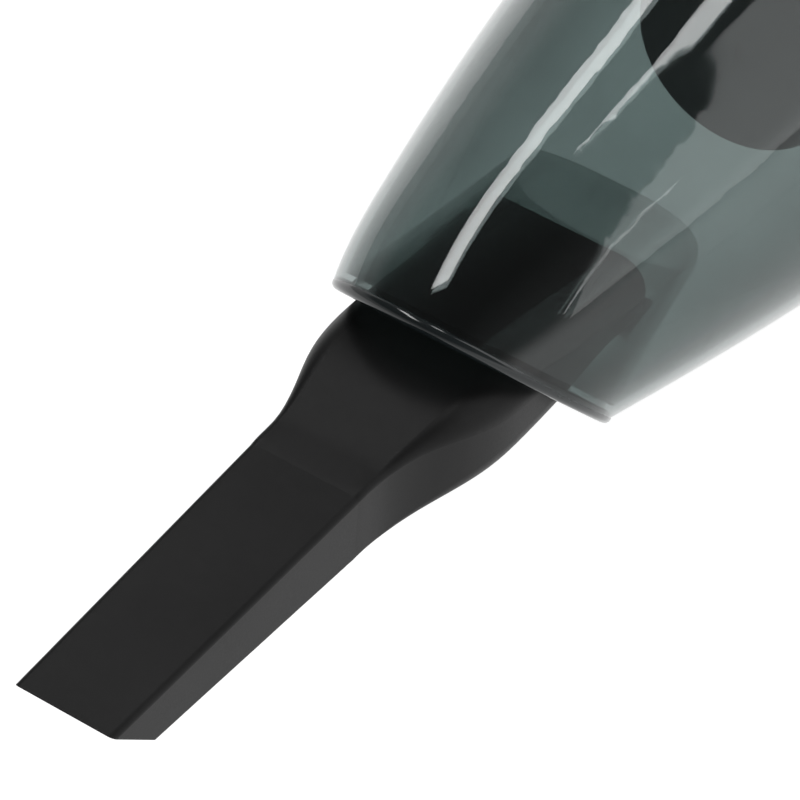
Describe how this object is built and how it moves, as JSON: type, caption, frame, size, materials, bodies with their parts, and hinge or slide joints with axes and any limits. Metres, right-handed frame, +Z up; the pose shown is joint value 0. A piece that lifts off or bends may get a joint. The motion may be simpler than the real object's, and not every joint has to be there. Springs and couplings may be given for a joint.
{
  "type": "handheld vacuum",
  "caption": "Cordless handheld vacuum: smoke-tinted tapered dust cup with a plug-in crevice nozzle, filter and fan motor behind it, loop handle on top.",
  "frame": {"origin": "centre of the bounding box in plan, on the floor under the runners", "axes": "+Y runs from the nozzle to the exhaust, +Z up, X = 0 is the plane of symmetry of the shells"},
  "size_m": [0.11, 0.4474, 0.1661],
  "materials": {
    "black_plastic": "fine satin grain",
    "smoke_clear": "clear gloss smoke tint",
    "dark_plastic": "matte",
    "body_grey": "satin gloss",
    "ring_silver": "satin silver",
    "filter_paper": "pleated",
    "soft_rubber": "matte",
    "button_plastic": "satin",
    "lens_clear": "clear",
    "spring_steel": "drawn wire",
    "steel": "zinc plated",
    "bronze": "sintered",
    "copper": "enamelled copper",
    "magnet": "ferrite",
    "white_plastic": "moulded",
    "cell_wrap": "shrink wrap",
    "board": "solder mask",
    "foam": "open cell foam",
    "carbon": "carbon"
  },
  "bodies": {
    "vacuum": {"battery_cells": "cell_wrap", "battery_straps": "spring_steel", "battery_tray": "dark_plastic", "board_parts": "carbon", "button_spring": "spring_steel", "carbon_brushes": "carbon", "charge_jack": "dark_plastic", "collar_ring": "ring_silver", "control_board": "board", "cup_seal": "soft_rubber", "exhaust_foam": "foam", "fan_shroud": "white_plastic", "front_bearing": "bronze", "grip_pad": "soft_rubber", "housing_left": "body_grey", "housing_right": "body_grey", "housing_screws": "steel", "indicator_lens": "lens_clear", "intake_bulkhead": "dark_plastic", "latch_pin": "steel", "latch_spring": "spring_steel", "micro_switch": "dark_plastic", "motor_can": "steel", "motor_endcap": "dark_plastic", "motor_magnets": "magnet", "motor_mount": "white_plastic", "motor_screws": "steel", "rear_bearing": "bronze", "rear_grille": "dark_plastic", "rubber_feet": "soft_rubber"},
    "cup": {"dust_cup": "smoke_clear"},
    "nozzle": {"crevice_nozzle": "black_plastic"},
    "filter": {"filter_cap": "dark_plastic", "filter_media": "filter_paper", "filter_frame": "dark_plastic", "filter_gasket": "soft_rubber"},
    "button": {"power_button": "button_plastic"},
    "latch": {"latch_lever": "button_plastic"},
    "rotor": {"impeller": "white_plastic", "impeller_bush": "bronze", "motor_shaft": "steel", "motor_rotor": "steel", "motor_windings": "copper", "commutator": "copper"}
  },
  "joints": [
    {"name": "cup_slide", "type": "slide", "parent": "vacuum", "child": "cup", "axis": [0, -1, 0], "range_m": [0, 0.09]},
    {"name": "nozzle_slide", "type": "slide", "parent": "cup", "child": "nozzle", "axis": [0, -1, 0], "range_m": [0, 0.06]},
    {"name": "filter_slide", "type": "slide", "parent": "vacuum", "child": "filter", "axis": [0, -1, 0], "range_m": [0, 0.045]},
    {"name": "button_press", "type": "slide", "parent": "vacuum", "child": "button", "axis": [0, 0, -1], "range_m": [0, 0.0019], "stiffness_N_per_m": 600, "springref_m": -0.001, "deforming": ["button_spring"]},
    {"name": "latch_press", "type": "hinge", "parent": "vacuum", "child": "latch", "pos_m": [0, 0.07975, 0.1155], "axis": [-1, 0, 0], "range_deg": [0, 6], "stiffness_Nm_per_rad": 0.06, "springref_deg": -5.73, "deforming": ["latch_spring"]},
    {"name": "fan_spin", "type": "hinge", "parent": "vacuum", "child": "rotor", "pos_m": [0, 0.0977, 0.0635], "axis": [0, 1, 0], "continuous": true}
  ]
}
